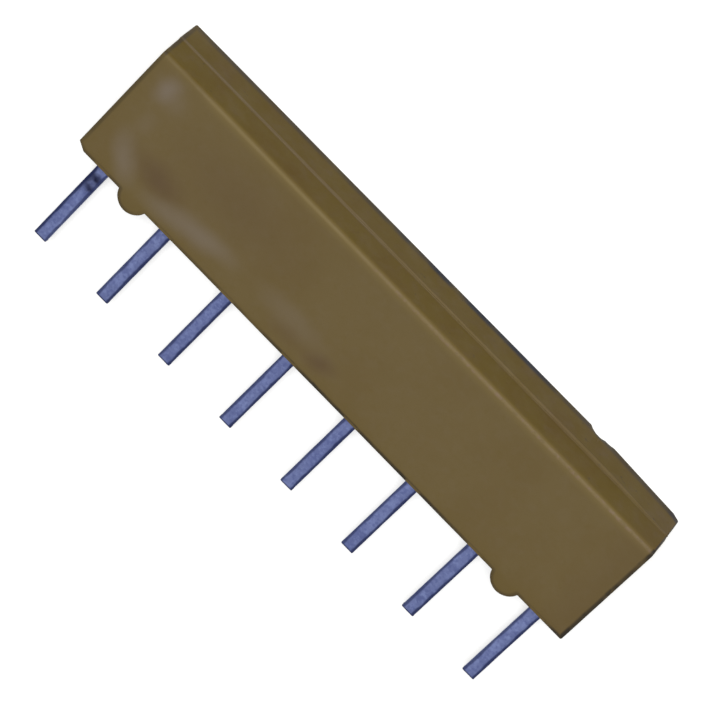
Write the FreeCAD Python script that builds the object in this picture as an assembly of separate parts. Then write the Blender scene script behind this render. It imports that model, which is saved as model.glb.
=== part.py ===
import FreeCAD, Part
import math
import os

from FreeCAD import Vector

# Thick-film resistor network in a moulded single-in-line body, lying on its flat back face.
# X runs along the body from the first lead, Y from the lead tips to the body's upper side, and Z out
# of the front face. While it is built, y = 0 is the body's underside and x = 0 is the body's middle.
# Sizes are in millimetres and angles in degrees.

# Row of stamped leads
lead_count = 8
lead_pitch = 2.54
lead_width = 0.457
lead_thickness = 0.254
lead_reach = 3.79            # from the body's underside down to the tips
lead_row_offset = 0.009      # of the row's middle from the body's middle
tip_chamfer = 0.05           # at the two corners of a cut tip

# Clip at the inner end of each lead: two outer prongs in front of the substrate, one behind it
clip_width = 1.0
middle_prong_width = 0.36
prong_slit = 0.06            # between neighbouring prongs
clip_cover = 0.30            # moulding compound between the underside and the clip's shoulder
shoulder_height = 0.35
shoulder_radius = 0.10       # where the stem widens into the shoulder
bend_length = 0.40           # along Y, from the shoulder to where a prong lies on the substrate
grip_length = 0.70           # of a prong along the substrate
flare_length = 0.15          # turned-out end of a prong
flare_rise = 0.06

# Ceramic substrate and the films printed on its front
substrate_thickness = 0.635
film_thickness = 0.02
pad_margin = 0.10            # of a pad beyond the clip at each side
pad_height = 1.00
pad_edge_margin = 0.05       # bare ceramic round the films
bus_width = 0.35
riser_width = 0.50           # of the strip from the first pad up to the bus
resistor_width = 1.10
trim_kerf = 0.05             # width of the laser cut that sets each resistor's value
trim_depth = 0.35            # of the first resistor's cut, in from the film's side
trim_depth_step = 0.03       # more in each next resistor
glaze_thickness = 0.02
glaze_margin = 0.08          # of the glass over the films' edges

# Solder that joins the front prongs to a pad
solder_margin = 0.06         # beyond the clip at each side
solder_height = 0.15
solder_slope = 0.05          # by which its top is smaller than its foot at each side
solder_seat = 0.03           # from the substrate's lower edge up to the solder

# Moulded body: a front and a back half that meet at the parting plane
body_height = 4.27
body_thickness = 2.35
end_wall = 0.365             # moulding compound past each end of the substrate
top_wall = 0.60              # moulding compound above the substrate
long_side_draft = 2.0
end_draft = 0.5
rim_radius = 0.05            # along the edges of the front and the back face
upper_rim_radius = 0.16      # along the front face's upper edge
flash_width = 0.05           # bead left along the parting line
flash_rise = 0.02
mould_skew = 0.28            # turn of the back half against the front half
mould_slip = 0.02            # of the back half towards the last lead

# Half-round standoffs on the underside, midway between the first two and the last two leads
standoff_radius = 0.55
standoff_drop = 0.405
standoff_root_radius = 0.10

# Blunt lower corner beside the first lead
corner_cut_along = 0.23
corner_cut_up = 0.16

# Damage on the back's upper edge near the last lead: a chip of two scoops, and a corner that is worn down
# along two slopes. Depths are measured at that edge.
chip_from_end = 3.49         # from the body's end to the deep scoop
chip_deep_radius = 0.45
chip_deep_depth = 0.092
chip_deep_behind = 0.095     # of the deep scoop's middle behind the back face
chip_shallow_radius = 1.30
chip_shallow_depth = 0.067
chip_shallow_behind = 0.52
chip_shallow_offset = 0.285  # from the deep scoop towards the body's end
worn_length = 3.27
worn_depth = 0.13
worn_tip_length = 0.35       # of the steeper slope at the very end
worn_tip_depth = 0.20
cutter_margin = 0.12         # by which the wedges that shape the worn corner reach past the body

coincident = 1e-6            # closer than this, two places count as one

# Sizes that follow from the ones above
row_length = (lead_count - 1) * lead_pitch
pad_width = clip_width + 2 * pad_margin
substrate_length = row_length + pad_width + 2 * pad_edge_margin
body_length = substrate_length + 2 * end_wall
middle_z = body_thickness / 2
half_thickness = lead_thickness / 2
front_prong_offset = substrate_thickness / 2 + film_thickness + half_thickness
back_prong_offset = substrate_thickness / 2 + half_thickness
bend_start = clip_cover + shoulder_height
bend_end = bend_start + bend_length
bend_angle = math.atan2(front_prong_offset, bend_length)
seat_y = bend_end + half_thickness * math.tan(bend_angle / 2)
prong_end = seat_y + grip_length
substrate_top = body_height - top_wall
film_z = middle_z + substrate_thickness / 2
pad_bottom = seat_y + pad_edge_margin
pad_top = pad_bottom + pad_height
bus_top = substrate_top - pad_edge_margin
bus_bottom = bus_top - bus_width
long_side_growth = middle_z * math.tan(math.radians(long_side_draft))
end_growth = middle_z * math.tan(math.radians(end_draft))
standoff_centre_y = standoff_radius - standoff_drop


def lead_x(index):
    """X of a lead's middle, counted from 0."""
    return lead_row_offset + index * lead_pitch - row_length / 2


def block(x_low, x_high, y_low, y_high, z_low, z_high):
    """Straight-sided block between two corners."""
    size = (x_high - x_low, y_high - y_low, z_high - z_low)
    return Part.makeBox(*size, Vector(x_low, y_low, z_low))


def same(a, b):
    """Whether two lengths are equal, as far as the model can tell."""
    return abs(a - b) < coincident


def edges_at(shape, z):
    """Edges that lie whole in the plane at height z."""
    return [e for e in shape.Edges if same(e.BoundBox.ZMin, z) and same(e.BoundBox.ZMax, z)]


# Leads

def strip(path, thickness, x_low, x_high):
    """Bent strip of sheet: a path of (y, z) points given a thickness, with mitred bends."""
    points = [Vector(0, y, z) for y, z in path]
    directions = [(b - a).normalize() for a, b in zip(points, points[1:])]
    normals = [Vector(0, -d.z, d.y) for d in directions]
    before = [normals[0]] + normals
    after = normals + [normals[-1]]
    mitres = [(m + n) * (thickness / 2 / (1 + m.dot(n))) for m, n in zip(before, after)]
    side = [p + m for p, m in zip(points, mitres)]
    other_side = [p - m for p, m in zip(points, mitres)]
    loop = side + other_side[::-1]
    face = Part.Face(Part.makePolygon(loop + loop[:1]))
    face.translate(Vector(x_low, 0, 0))
    return face.extrude(Vector(x_high - x_low, 0, 0))


def prong(offset, x_low, x_high):
    """One prong of a clip, bent to an offset from the lead's plane, with a turned-out end."""
    outward = math.copysign(flare_rise, offset)
    path = [(clip_cover + shoulder_height / 2, 0), (bend_start, 0), (bend_end, offset),
            (prong_end, offset), (prong_end + flare_length, offset + outward)]
    return strip(path, lead_thickness, x_low, x_high)


def lead_blank():
    """Flat of a lead: the stem with its cut tip, and the shoulder that it widens into."""
    half_width = lead_width / 2
    half_clip = clip_width / 2
    right = [(half_width - tip_chamfer, -lead_reach), (half_width, tip_chamfer - lead_reach),
             (half_width, clip_cover), (half_clip, clip_cover), (half_clip, bend_start)]
    left = [(-x, y) for x, y in reversed(right)]
    loop = [Vector(x, y, -half_thickness) for x, y in right + left]
    flat = Part.Face(Part.makePolygon(loop + loop[:1])).extrude(Vector(0, 0, lead_thickness))
    inner = [e for e in flat.Edges if same(e.BoundBox.YMin, clip_cover) and same(e.BoundBox.YMax, clip_cover)
             and same(e.BoundBox.ZLength, lead_thickness) and same(abs(e.BoundBox.Center.x), half_width)]
    return flat.makeFillet(shoulder_radius, inner)


def lead():
    """A whole stamped lead with its three-pronged clip, at the middle of the row."""
    half_middle = middle_prong_width / 2
    inner = half_middle + prong_slit
    outer = clip_width / 2
    shape = lead_blank()
    shape = shape.fuse([prong(-back_prong_offset, -half_middle, half_middle),
                        prong(front_prong_offset, inner, outer),
                        prong(front_prong_offset, -outer, -inner)])
    shape = shape.removeSplitter()
    shape.translate(Vector(0, 0, middle_z))
    return shape


# Ceramic substrate and printed films

def substrate():
    """Alumina plate, which the clips hold by its lower edge."""
    half = substrate_length / 2
    plate = block(-half, half, seat_y, substrate_top, middle_z - substrate_thickness / 2, film_z)
    plate.translate(Vector(lead_row_offset, 0, 0))
    return plate


def film(x_middle, width, y_low, y_high):
    """Printed patch on the substrate's front."""
    return block(x_middle - width / 2, x_middle + width / 2, y_low, y_high, film_z, film_z + film_thickness)


def pad(index):
    """Conductor pad under a clip."""
    return film(lead_x(index), pad_width, pad_bottom, pad_top)


def bus_conductor():
    """First lead's pad, the riser from it, and the bus along the upper edge that all resistors share."""
    bus = film(lead_row_offset, row_length + resistor_width, bus_bottom, bus_top)
    riser = film(lead_x(0), riser_width, pad_top, bus_bottom)
    return bus.fuse([riser, pad(0)]).removeSplitter()


def resistor_film(index):
    """Resistor between a lead's pad and the bus, with its laser trim cut."""
    x = lead_x(index)
    body = film(x, resistor_width, pad_top, bus_bottom)
    cut_depth = trim_depth + (index - 1) * trim_depth_step
    cut_y = (pad_top + bus_bottom) / 2
    side = x + resistor_width / 2
    return body.cut(block(side - cut_depth, side, cut_y - trim_kerf / 2, cut_y + trim_kerf / 2,
                          film_z, film_z + film_thickness))


def glaze(films):
    """Glass over the resistors and the bus, which lies close on them and on the ceramic between."""
    half = row_length / 2 + resistor_width / 2 + pad_edge_margin
    top = film_z + film_thickness + glaze_thickness
    cover = block(lead_row_offset - half, lead_row_offset + half, pad_top - glaze_margin,
                  bus_top + pad_edge_margin / 2, film_z, top)
    return cover.cut(films)


def flat_sided(foot, top):
    """Solid with flat sides between two closed rows of matching corners."""
    sides = zip(foot, foot[1:] + foot[:1], top[1:] + top[:1], top)
    loops = [foot, top] + [list(side) for side in sides]
    faces = [Part.Face(Part.makePolygon(loop + loop[:1])) for loop in loops]
    solid = Part.makeSolid(Part.makeShell(faces))
    if solid.Volume < 0:
        solid.reverse()
    return solid


def rectangle(x_middle, width, y_low, y_high, z):
    """Corners of a rectangle at height z."""
    x_low = x_middle - width / 2
    x_high = x_middle + width / 2
    return [Vector(x_low, y_low, z), Vector(x_high, y_low, z), Vector(x_high, y_high, z), Vector(x_low, y_high, z)]


def solder_joint(index, lead_shape):
    """Solder on a pad, up the sides of the two front prongs and round their ends."""
    foot_z = film_z + film_thickness
    width = clip_width + 2 * solder_margin
    y_low = max(seat_y + solder_seat, pad_bottom)
    y_high = pad_top - glaze_margin
    foot = rectangle(lead_x(index), width, y_low, y_high, foot_z)
    top = rectangle(lead_x(index), width - 2 * solder_slope, y_low + solder_slope,
                    y_high - solder_slope, foot_z + solder_height)
    return flat_sided(foot, top).cut(lead_shape)


# Moulded body

def body_corners(z, across, along):
    """Corners of the body's outline at height z, grown from the face's outline by the two drafts."""
    left = -body_length / 2 - along
    right = body_length / 2 + along
    under = -across
    top = body_height + across
    return [Vector(left + corner_cut_along, under, z), Vector(right, under, z), Vector(right, top, z),
            Vector(left, top, z), Vector(left, under + corner_cut_up, z)]


def standoff_xs():
    """X of the two half-round standoffs."""
    return lead_x(0) + lead_pitch / 2, lead_x(lead_count - 1) - lead_pitch / 2


def standoff(x, face_z):
    """Half-round standoff with rooted sides, from a face to the parting plane."""
    rise = standoff_centre_y + standoff_root_radius
    reach = math.sqrt((standoff_radius + standoff_root_radius) ** 2 - rise ** 2)
    turn = math.atan2(rise, reach)
    half_way = (math.pi / 2 + turn) / 2

    def root_arc(side):
        middle = Vector(x + side * reach, -standoff_root_radius, face_z)
        spokes = [Vector(-side * math.cos(angle), math.sin(angle), 0) for angle in (math.pi / 2, half_way, turn)]
        return [middle + spoke * standoff_root_radius for spoke in spokes]

    low = root_arc(-1)
    high = root_arc(1)
    tip = Vector(x, -standoff_drop, face_z)
    inside = Vector(0, standoff_radius, 0)
    arcs = [Part.Arc(*low), Part.Arc(low[-1], tip, high[-1]), Part.Arc(*high[::-1])]
    lines = Part.makePolygon([high[0], high[0] + inside, low[0] + inside, low[0]])
    profile = Part.Wire([arc.toShape() for arc in arcs] + lines.Edges)
    return Part.Face(profile).extrude(Vector(0, 0, middle_z - face_z))


def body_half(face_z):
    """One half of the moulding, from its flat face to the parting plane, with its rim rounded. The front
    face's upper edge is rounder than the rest."""
    face = body_corners(face_z, 0, 0)
    parting = body_corners(middle_z, long_side_growth, end_growth)
    feet = [standoff(x, face_z) for x in standoff_xs()]
    half = flat_sided(face, parting).fuse(feet).removeSplitter()
    if face_z < middle_z:
        return half.makeFillet(rim_radius, edges_at(half, face_z))
    upper = [edge for edge in edges_at(half, face_z) if same(edge.BoundBox.YMin, body_height)]
    half = half.makeFillet(upper_rim_radius, upper)
    rest = [edge for edge in edges_at(half, face_z) if edge.BoundBox.YMin < body_height / 2]
    return half.makeFillet(rim_radius, rest)


def flash_bead():
    """Thin bead that the mould's joint leaves along the upper side and the underside."""
    z = middle_z - flash_width / 2
    rise = Vector(0, 0, flash_width)
    corners = body_corners(z, long_side_growth + flash_rise, end_growth)
    feet = [Part.makeCylinder(standoff_radius + flash_rise, flash_width, Vector(x, standoff_centre_y, z))
            for x in standoff_xs()]
    return flat_sided(corners, [corner + rise for corner in corners]).fuse(feet)


def back_top(x):
    """Height of the back half's upper edge, which the skew lifts towards the last lead."""
    return body_height + math.tan(math.radians(mould_skew)) * (x + body_length / 2)


def scoop(x, radius, depth, behind):
    """Ball that takes a shell-shaped chip out of the back's upper edge."""
    rise = math.sqrt(radius ** 2 - behind ** 2)
    return Part.makeSphere(radius, Vector(x, back_top(x) + rise - depth, -behind))


def worn_slope(length, depth):
    """Wedge above a plane that falls to a depth at the body's end and rises to the parting line."""
    end = body_length / 2
    high = back_top(end - length)
    low = back_top(end) - depth
    fall = (low - high) / length
    rise = (body_height + long_side_growth - low) / middle_z

    def on_slope(x, z):
        return Vector(x, high + fall * (x - end + length) + rise * z, z)

    left, right = end - 2 * length, end + cutter_margin
    plane = Part.makePolygon([on_slope(left, -cutter_margin), on_slope(right, -cutter_margin),
                              on_slope(right, middle_z), on_slope(left, middle_z), on_slope(left, -cutter_margin)])
    return Part.Face(plane).extrude(Vector(0, worn_tip_depth + cutter_margin, 0))


def moulding():
    """Outside of the body: two slightly mismatched halves, the bead between them, and the damage."""
    front = body_half(body_thickness)
    back = body_half(0)
    back.rotate(Vector(-body_length / 2, 0, 0), Vector(0, 0, 1), mould_skew)
    back.translate(Vector(mould_slip, 0, 0))
    shape = front.fuse([back, flash_bead()])
    chip_x = body_length / 2 - chip_from_end
    damage = [scoop(chip_x, chip_deep_radius, chip_deep_depth, chip_deep_behind),
              scoop(chip_x + chip_shallow_offset, chip_shallow_radius, chip_shallow_depth, chip_shallow_behind),
              worn_slope(worn_length, worn_depth), worn_slope(worn_tip_length, worn_tip_depth)]
    return shape.cut(damage).removeSplitter()


# Whole part

def build():
    """Every piece by its name, before it is placed about the origin."""
    pieces = {}
    blank = lead()
    leads = []
    for index in range(lead_count):
        shape = blank.copy()
        shape.translate(Vector(lead_x(index), 0, 0))
        leads.append(shape)
        pieces[f"lead_{index + 1}"] = shape
        pieces[f"solder_joint_{index + 1}"] = solder_joint(index, shape)
    pieces["ceramic_substrate"] = substrate()
    pieces["bus_conductor"] = bus_conductor()
    films = [pieces["bus_conductor"]]
    for index in range(1, lead_count):
        pieces[f"pad_{index + 1}"] = pad(index)
        pieces[f"resistor_film_{index}"] = resistor_film(index)
        films += [pieces[f"pad_{index + 1}"], pieces[f"resistor_film_{index}"]]
    pieces["glass_overglaze"] = glaze(films)
    pieces["housing"] = moulding().cut(list(pieces.values()))
    return pieces


def place(pieces):
    """Moves every piece so that the origin lies under the middle of the whole part."""
    box = Part.makeCompound(list(pieces.values())).optimalBoundingBox(False)
    for shape in pieces.values():
        shape.translate(Vector(-box.Center.x, -box.Center.y, -box.ZMin))


def export(pieces):
    """Writes each piece to its own file."""
    os.makedirs("parts", exist_ok=True)
    for name, shape in pieces.items():
        shape.exportStep(f"parts/{name}.step")


parts = build()
place(parts)
export(parts)
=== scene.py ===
import math
from contextlib import contextmanager
from types import SimpleNamespace

import bmesh
import bpy
from bpy.props import FloatProperty, FloatVectorProperty, PointerProperty
from mathutils import Matrix, Vector


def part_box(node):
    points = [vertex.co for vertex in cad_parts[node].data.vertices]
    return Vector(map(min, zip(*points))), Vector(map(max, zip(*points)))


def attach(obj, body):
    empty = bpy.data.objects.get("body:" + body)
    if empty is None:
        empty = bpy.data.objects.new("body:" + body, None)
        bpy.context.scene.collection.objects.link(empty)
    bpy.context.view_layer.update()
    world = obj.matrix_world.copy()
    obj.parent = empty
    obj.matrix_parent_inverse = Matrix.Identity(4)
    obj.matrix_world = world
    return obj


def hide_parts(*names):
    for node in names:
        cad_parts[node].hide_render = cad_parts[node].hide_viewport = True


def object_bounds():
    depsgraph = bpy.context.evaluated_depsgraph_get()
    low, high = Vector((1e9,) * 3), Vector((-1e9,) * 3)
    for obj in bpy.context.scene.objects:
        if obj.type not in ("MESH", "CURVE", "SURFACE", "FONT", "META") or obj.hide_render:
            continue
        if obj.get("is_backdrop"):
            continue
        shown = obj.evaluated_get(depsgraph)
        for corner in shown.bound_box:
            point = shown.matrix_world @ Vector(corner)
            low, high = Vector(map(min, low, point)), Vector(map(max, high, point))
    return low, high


# Resistor network in a moulded single-in-line body, lying on its back: X runs along the body, Y from the
# lead tips to the body's upper side, Z out of the front face. The frame is in metres. New pieces are
# modelled in millimetres, which suits the operators' own thresholds, and are scaled to metres when done.

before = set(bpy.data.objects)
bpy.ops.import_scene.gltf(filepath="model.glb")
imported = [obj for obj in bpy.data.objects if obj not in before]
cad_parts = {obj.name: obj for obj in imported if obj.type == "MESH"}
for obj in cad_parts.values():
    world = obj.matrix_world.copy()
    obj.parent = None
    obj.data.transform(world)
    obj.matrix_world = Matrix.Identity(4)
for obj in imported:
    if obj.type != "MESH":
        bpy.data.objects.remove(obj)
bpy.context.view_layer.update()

bl_info = {
    "name": "Moulded Resistor Network",
    "version": (1, 0, 0),
    "blender": (4, 5, 0),
    "location": "View3D > Sidebar > Resistor Network",
    "description": "Models a moulded single-in-line resistor network round its packed solids",
    "category": "Object",
}

MM = 0.001
LEADS = [f"lead_{index}" for index in range(1, 9)]
# Places of a Mix node's colour sockets, whose names repeat for each data type.
MIX_FACTOR, MIX_A, MIX_B, MIX_RESULT = 0, 6, 7, 2
# Closer than this, in millimetres, two places count as one; the finer value is for cuts that shape a piece,
# and the coarser one for finding a lead's edges after its modifiers.
NEAR = 1e-4
CUT_NEAR = 1e-5
ROUGHLY_NEAR = 1e-3


def linear(hex_colour):
    """sRGB hex digits as a linear colour with full alpha."""
    parts = [int(hex_colour[i:i + 2], 16) / 255 for i in (0, 2, 4)]
    return tuple(c / 12.92 if c <= 0.04045 else ((c + 0.055) / 1.055) ** 2.4 for c in parts) + (1.0,)


def length(name, millimetres, description):
    """A setting that holds a length."""
    return FloatProperty(name=name, description=description, default=millimetres * MM, min=0, precision=5,
                         unit="LENGTH")


def angle(name, degrees, description):
    """A setting that holds an angle."""
    return FloatProperty(name=name, description=description, default=math.radians(degrees), subtype="ANGLE")


def number(name, value, description):
    """A setting that holds a plain number."""
    return FloatProperty(name=name, description=description, default=value, min=0)


def colour(name, hex_colour, description):
    """A setting that holds a colour."""
    return FloatVectorProperty(name=name, description=description, default=linear(hex_colour), size=4,
                               min=0, max=1, subtype="COLOR")


# Settings

class BodySettings(bpy.types.PropertyGroup):
    """Sizes and colours of the moulded body."""
    height: length("Height", 4.29, "From the underside to the upper side, at the front face")
    row_offset: length("Row offset", 0.009, "Of the lead row's middle from the body's middle")
    body_length: length("Length", 19.81, "Of the front face")
    long_side_draft: angle("Long side draft", 2.0, "Slope of the underside and the upper side")
    end_draft: angle("End draft", 0.5, "Slope of the two ends")
    rim_radius: length("Rim radius", 0.05, "Along the edges of the front and the back face")
    upper_rim_radius: length("Upper rim radius", 0.16, "Along the front face's upper edge")
    corner_radius: length("Corner radius", 0.05, "Where the long sides meet the ends")
    joint_lift: length("Joint lift", 0.04, "Of the mould's joint above half thickness, by the first lead")
    joint_climb: length("Joint climb", 0.095, "Of the mould's joint, from the first lead's end to the last")
    bead_width: length("Bead width", 0.05, "Of the bead that the mould's joint leaves")
    bead_rise: length("Bead rise", 0.02, "Of that bead above the long sides")
    mould_skew: angle("Mould skew", 0.28, "Turn of the back half against the front half")
    mould_slip: length("Mould slip", 0.01, "Of the back half towards the last lead")
    back_short: length("Back half short", 0.065, "By which the back half ends short beside the last lead")
    corner_cut_along: length("Blunt corner along", 0.30, "Of the lower corner beside the first lead")
    corner_cut_up: length("Blunt corner up", 0.18, "Of the lower corner beside the first lead")
    standoff_radius: length("Standoff radius", 0.53, "Of the two half-round standoffs")
    standoff_aside: length("Standoff aside", 0.02, "Of the standoffs towards the first lead")
    standoff_drop: length("Standoff drop", 0.42, "Of the standoffs below the underside")
    standoff_root_radius: length("Standoff root radius", 0.03, "Where a standoff meets the underside")
    waviness: length("Waviness", 0.008, "By which the moulded faces depart from flat")
    wave_size: length("Wave size", 1.6, "Of the waves in the moulded faces")
    compound: colour("Moulding compound", "584714", "Colour of the filled epoxy")
    brown: colour("Brown clouds", "544016", "Colour of the compound's faint brown clouds")
    mauve: colour("Mauve clouds", "58472A", "Colour of the compound's faint greyish clouds")
    # Painted light: the front face is painted lighter than the upper side, standing in for the lamp falling
    # more fully on it.
    lit_front: colour("Handled face", "625333", "Colour of the front face, which handling has dulled")
    rubbed: colour("Rubbed patches", "6E6252", "Colour of the pale rubbed patches")
    stained: colour("Stained patches", "52402C", "Colour of the darker stained patches")
    # Painted highlight along the front face's upper edge, with a greyer variant towards the last lead.
    rim_highlight: colour("Worn rim", "6E5E37", "Colour of the front face's rubbed upper edge")
    rim_highlight_grey: colour("Worn rim, grey", "705D46", "Colour of that edge where it is greyest")
    flash: colour("Flash", "6A5C4A", "Colour of the bead along the mould's joint")
    # Painted shade along the body's edges, which darkens its outline; the soot colour also gives the
    # compound's dark specks.
    edge_shade: colour("Grime", "221D14", "Colour of the dark film along the front face's sharp edges")
    specks_and_shade: colour("Soot", "20222B", "Colour of the dark film along the upper side's edges")
    edge_shade_width: length("Grime width", 0.115, "Of that film on the front face")


class DamageSettings(bpy.types.PropertyGroup):
    """Sizes of the chip and the worn corners."""
    chip_from_end: length("Chip from end", 3.43, "From the body's end to the deep scoop")
    deep_radius: length("Deep scoop radius", 0.65, "Of the ball that takes the deep scoop out")
    deep_depth: length("Deep scoop depth", 0.125, "At the back's upper edge")
    deep_behind: length("Deep scoop behind", 0.095, "Of the ball's middle behind the back face")
    shallow_radius: length("Shallow scoop radius", 1.30, "Of the ball that takes the shallow scoop out")
    shallow_depth: length("Shallow scoop depth", 0.075, "At the back's upper edge")
    shallow_behind: length("Shallow scoop behind", 0.52, "Of the ball's middle behind the back face")
    shallow_offset: length("Shallow scoop offset", 0.285, "From the deep scoop towards the body's end")
    scoop_grain: length("Scoop grain", 0.02, "Roughness of the broken surface in the scoops")
    scoop_grain_size: length("Scoop grain size", 0.12, "Of the bumps in that surface")
    worn_length: length("Worn length", 3.75, "Of the worn corner along the upper edge")
    worn_depth: length("Worn depth", 0.16, "Of the worn corner at the body's end")
    worn_tip_length: length("Worn tip length", 0.86, "Of the steeper slope at the very end")
    worn_tip_depth: length("Worn tip depth", 0.24, "Of the steeper slope at the body's end")
    front_corner_along: length("Front corner along", 0.08, "Of the front half's worn corner, at its face")
    front_corner_down: length("Front corner down", 0.22, "Of the front half's worn corner, at its face")
    front_corner_growth: number("Front corner growth", 1.5, "Of that corner from the face to the joint")
    margin: length("Cutter margin", 0.12, "By which what wears a corner off reaches past the body")


class LeadSettings(bpy.types.PropertyGroup):
    """Sizes and colours of the stamped leads."""
    width: length("Width", 0.457, "Of a lead's stem")
    thickness: length("Thickness", 0.254, "Of the strip that the leads are stamped from")
    reach: length("Reach", 3.775, "From the body's underside down to the tips")
    trim_bow: length("Trim bow", 0.07, "By which the middle leads are cut shorter than the outer ones")
    tip_chamfer: length("Tip chamfer", 0.02, "At the two corners of a cut tip")
    edge_radius: length("Edge radius", 0.035, "Along the edges, where the solder coat rounds them")
    clip_width: length("Clip width", 1.0, "Of the clip inside the body")
    middle_prong_width: length("Middle prong width", 0.36, "Of the prong behind the substrate")
    prong_slit: length("Prong slit", 0.06, "Between neighbouring prongs")
    clip_cover: length("Clip cover", 0.30, "From the underside up to the clip's shoulder")
    shoulder_height: length("Shoulder height", 0.35, "Of the clip's shoulder")
    shoulder_radius: length("Shoulder radius", 0.10, "Where the stem widens into the shoulder")
    bend_length: length("Bend length", 0.40, "From the shoulder to where a prong lies on the substrate")
    grip_length: length("Grip length", 0.70, "Of a prong along the substrate")
    flare_length: length("Flare length", 0.15, "Of a prong's turned-out end")
    flare_rise: length("Flare rise", 0.06, "Of a prong's turned-out end")
    coat_unevenness: length("Coat unevenness", 0.012, "Of the solder coat's surface")
    coat_wave_size: length("Coat wave size", 0.45, "Of the waves in the solder coat")
    # Width of the painted shade along a lead's edges.
    dark_line: length("Dark line", 0.06, "Width of the dark film along a lead's edges")
    tin: colour("Tin", "666F99", "Colour of the dull solder coat")
    tin_pale: colour("Tin, pale", "7883AE", "Colour of the thick bright places")
    tin_dark: colour("Tin, dark", "525B88", "Colour of the thin places")
    # Painted shade along the leads' edges and across their cut tips.
    shaded: colour("Sheared edge", "20264A", "Colour of the oxidised film along the sheared edges")
    flux: colour("Flux", "1E2038", "Colour of burnt flux specks")


class InsideSettings(bpy.types.PropertyGroup):
    """Colours of the sealed pieces inside the body."""
    alumina: colour("Alumina", "E9E6DD", "Colour of the sintered substrate")
    alumina_dark: colour("Alumina, dark", "DAD7CE", "Colour of its faint clouds")
    conductor: colour("Conductor", "B9B6AD", "Colour of the fired silver alloy print")
    conductor_dark: colour("Conductor, dark", "8C8A84", "Colour of its tarnished clouds")
    resistor: colour("Resistor", "22201F", "Colour of the fired oxide print")
    resistor_pale: colour("Resistor, pale", "37332F", "Colour of its thin places")
    glaze: colour("Glaze", "3E6B4A", "Colour of the glass print over the resistors")
    glaze_pale: colour("Glaze, pale", "5A8A63", "Colour of its thin places")
    solder: colour("Solder", "B4B7BC", "Colour of the reflowed solder")
    solder_dark: colour("Solder, dark", "85898F", "Colour of its coarse grain")


class StageSettings(bpy.types.PropertyGroup):
    """View, lights and floor."""
    focal_length: number("Focal length", 301.3, "Of the camera, in millimetres on a 36 mm sensor")
    distance: length("Distance", 168.52, "From the camera to the point that it looks at")
    target_aside: length("Target aside", 0.180, "From the lead row's middle towards the first lead")
    target_above: length("Target above", 4.823, "From the lead tips towards the body")
    tilt_x: angle("Tilt about X", -23.376, "Camera's turn about X")
    tilt_y: angle("Tilt about Y", 22.063, "Camera's turn about Y")
    turn_z: angle("Turn about Z", 41.037, "Camera's turn about Z")
    lamp_height: angle("Lamp height", 60, "Of the soft lamp above the floor, seen from the object")
    lamp_distance: length("Lamp distance", 600, "From the object to the soft lamp")
    lamp_size: length("Lamp size", 200, "Across the round soft lamp")
    lamp_level: number("Lamp level", 0.95, "Brightness that the lamp gives a white surface facing it")
    fill_level: number("Fill level", 0.25, "Brightness of the surroundings that light the object")
    floor_size: length("Floor size", 4000, "Side of the square floor")
    floor: colour("Floor", "D0D0CE", "Colour of the floor")
    floor_lift: number("Floor lift", 0.5, "Brightness added to the floor where it is seen directly")


SETTINGS = {"network_body": BodySettings, "network_damage": DamageSettings, "network_leads": LeadSettings,
            "network_inside": InsideSettings, "network_stage": StageSettings}


def millimetres(group):
    """A settings group's values, with its lengths turned to the millimetres that pieces are modelled in."""
    values = {}
    for name, prop in group.bl_rna.properties.items():
        if name not in ("rna_type", "name"):
            value = getattr(group, name)
            values[name] = value / MM if getattr(prop, "unit", "") == "LENGTH" else value
    return SimpleNamespace(**values)


def node_box(node):
    """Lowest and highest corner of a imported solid, in millimetres."""
    low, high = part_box(node)
    return low / MM, high / MM


# Modelling helpers

def activate(piece):
    """Makes one object the only selected one, and the active one."""
    bpy.ops.object.select_all(action="DESELECT")
    piece.select_set(True)
    bpy.context.view_layer.objects.active = piece


@contextmanager
def editing(piece):
    """Edit mode on one object, with nothing in it selected at first."""
    activate(piece)
    bpy.ops.object.mode_set(mode="EDIT")
    bpy.ops.mesh.select_all(action="DESELECT")
    yield
    bpy.ops.object.mode_set(mode="OBJECT")


def select(piece, kind, wanted):
    """Selects those vertices, edges or faces of an edited mesh that are wanted, and nothing else."""
    bpy.ops.mesh.select_mode(type={"verts": "VERT", "edges": "EDGE", "faces": "FACE"}[kind])
    bpy.ops.mesh.select_all(action="DESELECT")
    mesh = bmesh.from_edit_mesh(piece.data)
    found = [item for item in getattr(mesh, kind) if wanted(item)]
    for item in found:
        item.select_set(True)
    bmesh.update_edit_mesh(piece.data)
    if not found:
        raise RuntimeError(f"{piece.name}: none of its {kind} is the one to select")


def middle_of(edge):
    return (edge.verts[0].co + edge.verts[1].co) / 2


def share_along(edge, axis):
    """Share of an edge's length that runs along an axis."""
    span = edge.verts[1].co - edge.verts[0].co
    return abs(span[axis]) / max(span.length, 1e-9)


def add_primitive(add, name, location, scale=(1, 1, 1), **settings):
    """Adds a primitive with nothing else selected, and applies its place and size."""
    bpy.ops.object.select_all(action="DESELECT")
    add(location=location, **settings)
    piece = bpy.context.object
    piece.name = name
    piece.scale = scale
    bpy.ops.object.transform_apply(location=True, rotation=True, scale=True)
    return piece


def add_box(name, low, high):
    """Straight-sided block between two corners."""
    low, high = Vector(low), Vector(high)
    return add_primitive(bpy.ops.mesh.primitive_cube_add, name, (low + high) / 2, high - low, size=1)


def modify(piece, kind, **settings):
    """Adds a modifier and applies it."""
    activate(piece)
    modifier = piece.modifiers.new(kind.title(), kind)
    for name, value in settings.items():
        setattr(modifier, name, value)
    bpy.ops.object.modifier_apply(modifier=modifier.name)


def combine(piece, tool, operation="UNION"):
    """Joins another solid to a piece, or cuts it out, and removes that solid."""
    modify(piece, "BOOLEAN", object=tool, operation=operation, solver="EXACT")
    bpy.data.objects.remove(tool)


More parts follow.
